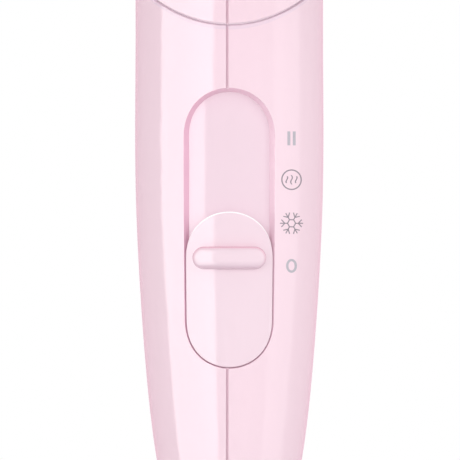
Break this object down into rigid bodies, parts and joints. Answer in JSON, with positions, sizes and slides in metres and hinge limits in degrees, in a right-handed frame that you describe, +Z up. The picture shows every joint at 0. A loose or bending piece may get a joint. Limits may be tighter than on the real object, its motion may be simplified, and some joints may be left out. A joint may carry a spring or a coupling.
{
  "type": "hair dryer",
  "caption": "Compact hand-held hair dryer with an oval handle, a long barrel, a slide switch in a recessed track and a flat slot nozzle.",
  "frame": {"origin": "centre of the cord inlet's mouth, at the handle's lower end", "axes": "+Z up the handle towards the barrel; -Y the way the air blows and the side the slide switch is on; +X to the right of someone who faces the switch"},
  "size_m": [0.071, 0.1874, 0.208],
  "materials": {
    "casing": "polished pale pink ABS",
    "insert": "polished pale pink ABS",
    "slider": "polished pale pink ABS",
    "collar": "polished pale grey ABS",
    "nozzle": "polished pale pink heat-resistant plastic",
    "grille": "semi-gloss pink ABS",
    "outlet_steel": "pressed steel",
    "filter_plastic": "dark grey nylon",
    "rubber": "soft pink PVC",
    "loop": "pink polypropylene",
    "dark_plastic": "black phenolic",
    "inner_plastic": "natural white nylon",
    "fan_plastic": "dark grey glass-filled nylon",
    "duct_plastic": "natural heat-resistant plastic",
    "steel": "zinc-plated steel",
    "screw_steel": "nickel-plated steel",
    "shaft_steel": "ground steel",
    "brass": "plain brass",
    "copper": null,
    "magnet": null,
    "carbon": "carbon",
    "board": "phenolic paper board",
    "mica": "phlogopite mica sheet",
    "nichrome": "resistance wire",
    "fuse": "tinned can",
    "wire_black": "insulated lead",
    "wire_white": "glass-braided lead",
    "film": "dipped epoxy"
  },
  "bodies": {
    "housing": {"handle_shell_left": "casing", "handle_shell_right": "casing", "barrel_shell_left": "casing", "barrel_shell_right": "casing", "switch_tray": "insert", "switch_housing": "dark_plastic", "switch_terminals": "brass", "switch_screws": "screw_steel", "cord_gland": "rubber", "cord_clamp": "inner_plastic", "cord_clamp_screws": "screw_steel", "hanging_loop": "loop", "handle_screws": "screw_steel", "neck_screw": "screw_steel", "outlet_collar": "collar", "outlet_grille": "outlet_steel", "rear_grille": "grille", "inlet_filter_frame": "filter_plastic", "fan_duct": "duct_plastic", "motor_can": "steel", "motor_end_cap": "inner_plastic", "motor_magnets": "magnet", "motor_brushes": "carbon", "rectifier_board": "board", "rectifier_diodes": "dark_plastic", "mica_board_upright": "mica", "mica_board_flat": "mica", "mica_sleeve": "mica", "heater_ring": "duct_plastic", "heating_coil": "nichrome", "thermostat": "brass", "thermal_fuse": "fuse", "motor_leads": "wire_black", "heater_leads": "wire_white", "capacitor": "film"},
    "slider": {"slider_button": "slider", "switch_carrier": "inner_plastic", "switch_wiper": "copper"},
    "fan_rotor": {"impeller": "fan_plastic", "motor_shaft": "shaft_steel", "motor_armature": "steel", "motor_commutator": "copper"},
    "nozzle": {"nozzle": "nozzle"}
  },
  "joints": [
    {"name": "slider_travel", "type": "slide", "parent": "housing", "child": "slider", "axis": [0, 0, 1], "range_m": [0, 0.0238]},
    {"name": "fan_spin", "type": "hinge", "parent": "housing", "child": "fan_rotor", "pos_m": [0, 0, 0.157], "axis": [0, 1, 0], "continuous": true},
    {"name": "nozzle_turn", "type": "hinge", "parent": "housing", "child": "nozzle", "pos_m": [0, 0, 0.157], "axis": [0, 1, 0], "continuous": true}
  ]
}
